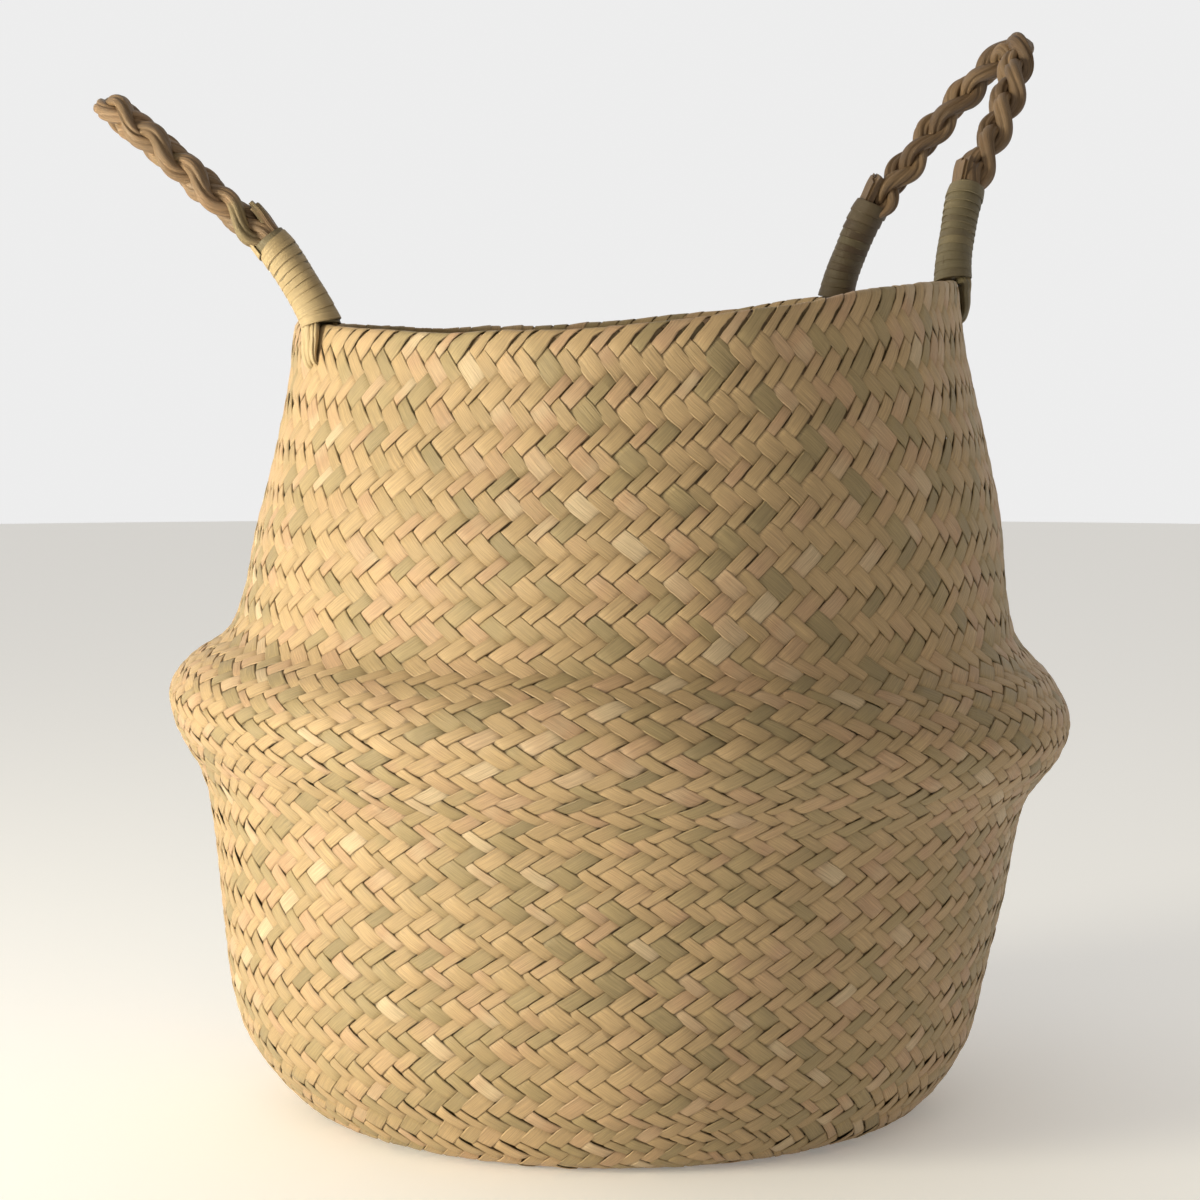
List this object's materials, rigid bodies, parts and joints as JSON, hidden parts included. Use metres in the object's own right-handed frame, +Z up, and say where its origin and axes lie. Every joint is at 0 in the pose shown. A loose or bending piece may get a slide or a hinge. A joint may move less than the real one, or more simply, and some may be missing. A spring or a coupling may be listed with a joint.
{
  "type": "seagrass storage basket",
  "caption": "Round plaited storage basket with a bulging belly fold, a narrowed open neck and two braided rope handles bound to the rim.",
  "frame": {"origin": "centre of the flat base, on the surface the basket stands on", "axes": "+Z up out of the mouth, handles towards +X and -X, front towards -Y"},
  "size_m": [0.392, 0.364, 0.436],
  "materials": {
    "plait": "dry plaited seagrass, satin fibres in tan, straw and olive",
    "rim_plait": "dry plaited seagrass folded over the rim, slightly darker",
    "rope": "braided bundles of dry seagrass, brown with rose and olive streaks",
    "binding": "flat pale seagrass strip wound tight"
  },
  "bodies": {
    "basket": {"base_mat": "plait", "lower_wall": "plait", "belly_fold": "plait", "neck_wall": "plait", "rim_hem": "rim_plait", "rim_lining": "rim_plait", "left_front_loop": "rope", "left_rear_loop": "rope", "right_front_loop": "rope", "right_rear_loop": "rope"},
    "left_handle": {"left_strand_a": "rope", "left_strand_b": "rope", "left_strand_c": "rope", "left_front_wrap": "binding", "left_rear_wrap": "binding", "left_front_tail": "rope", "left_rear_tail": "rope"},
    "right_handle": {"right_strand_a": "rope", "right_strand_b": "rope", "right_strand_c": "rope", "right_front_wrap": "binding", "right_rear_wrap": "binding", "right_front_tail": "rope", "right_rear_tail": "rope"}
  },
  "joints": [
    {"name": "left_handle_swing", "type": "hinge", "parent": "basket", "child": "left_handle", "pos_m": [-0.11585, 0.0174, 0.31435], "axis": [-0.1391, -0.9896, -0.0356], "range_deg": [-104, 60]},
    {"name": "right_handle_swing", "type": "hinge", "parent": "basket", "child": "right_handle", "pos_m": [0.12533, 0.01859, 0.32994], "axis": [-0.1564, 0.9873, -0.028], "range_deg": [-90, 60]}
  ]
}
